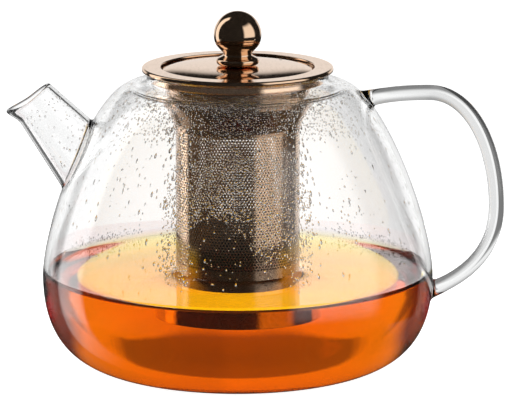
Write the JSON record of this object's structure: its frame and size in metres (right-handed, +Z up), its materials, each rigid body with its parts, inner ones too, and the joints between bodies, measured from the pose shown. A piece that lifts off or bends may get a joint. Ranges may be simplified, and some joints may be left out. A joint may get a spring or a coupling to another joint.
{
  "type": "glass infuser teapot",
  "caption": "Rounded clear glass teapot with fused spout and rod handle, a lift-out metal tea infuser hung in its neck and a low domed lid with a ball knob.",
  "frame": {"origin": "pot's axis at the underside of its base", "axes": "+Z up along the pot's axis, +X towards the handle, -X towards the spout"},
  "size_m": [0.2089, 0.1642, 0.1508],
  "materials": {
    "glass": "clear, fire-polished borosilicate",
    "rose_gold": "polished rose-gold plating on stainless steel",
    "basket_steel": "etched fine-hole sheet with a thin copper tint",
    "liner_steel": "satin stainless steel",
    "silicone": "clear to milky food-grade silicone",
    "insert_brass": "turned brass"
  },
  "bodies": {
    "pot": {"glass_body": "glass", "glass_shoulder": "glass", "glass_spout": "glass", "glass_handle": "glass"},
    "seal": {"neck_seal": "silicone"},
    "infuser": {"infuser_flange": "rose_gold", "infuser_collar": "rose_gold", "basket_wall": "basket_steel", "basket_base": "basket_steel"},
    "lid_ring": {"lid_seal": "silicone"},
    "lid": {"lid_cap": "rose_gold", "lid_liner": "liner_steel", "knob_ball": "rose_gold", "knob_stem": "rose_gold", "knob_insert": "insert_brass", "knob_washer": "liner_steel", "knob_screw": "liner_steel"}
  },
  "joints": [
    {"name": "infuser_lift", "type": "slide", "parent": "pot", "child": "seal", "axis": [0, 0, 1], "range_m": [0, 0.13]},
    {"name": "infuser_turn", "type": "hinge", "parent": "seal", "child": "infuser", "pos_m": [0, 0, 0.126], "axis": [0, 0, 1], "continuous": true},
    {"name": "lid_lift", "type": "slide", "parent": "infuser", "child": "lid_ring", "axis": [0, 0, 1], "range_m": [0, 0.05]},
    {"name": "lid_turn", "type": "hinge", "parent": "lid_ring", "child": "lid", "pos_m": [0, 0, 0.126], "axis": [0, 0, 1], "continuous": true}
  ]
}
